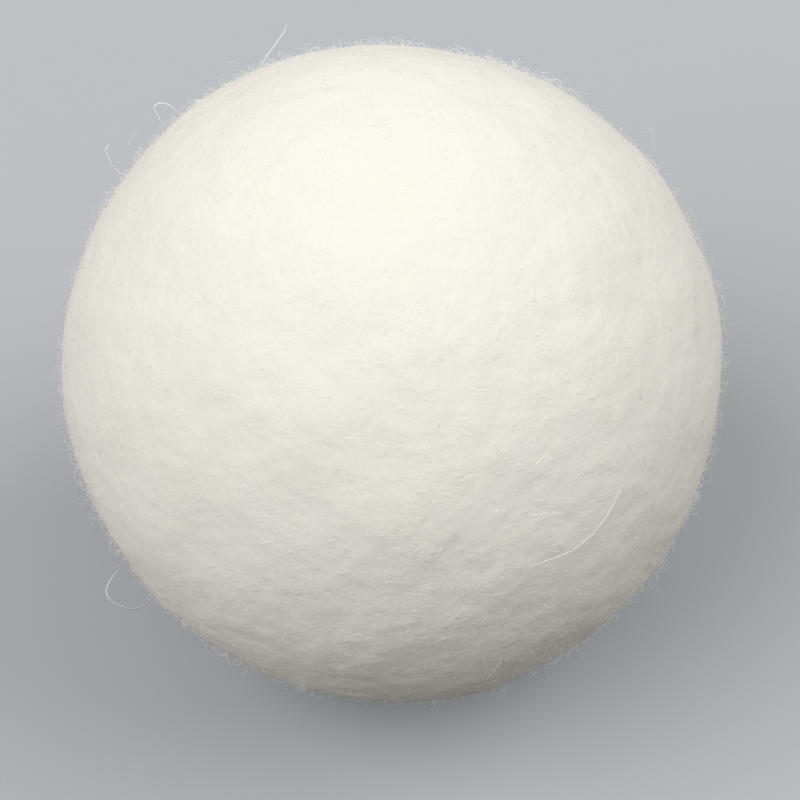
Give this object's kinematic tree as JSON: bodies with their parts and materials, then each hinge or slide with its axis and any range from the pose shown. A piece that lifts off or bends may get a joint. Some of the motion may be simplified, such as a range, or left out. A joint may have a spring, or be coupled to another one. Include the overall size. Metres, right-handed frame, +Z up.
{
  "type": "wool dryer ball",
  "caption": "Solid ball of felted cream wool, slightly out of round and lightly fuzzy, tumbled loose with wet laundry to part it and soften it.",
  "frame": {"origin": "the middle of the ball, at its centre of mass", "axes": "+Z up as the ball lies in the picture, -Y towards the viewer, +X to the viewer's right"},
  "size_m": [0.0706, 0.0707, 0.0707],
  "materials": {
    "cream_felt": "dull felted wool, undyed cream, with short curled fuzz"
  },
  "bodies": {
    "root": {"felt_ball": "cream_felt"}
  },
  "joints": []
}
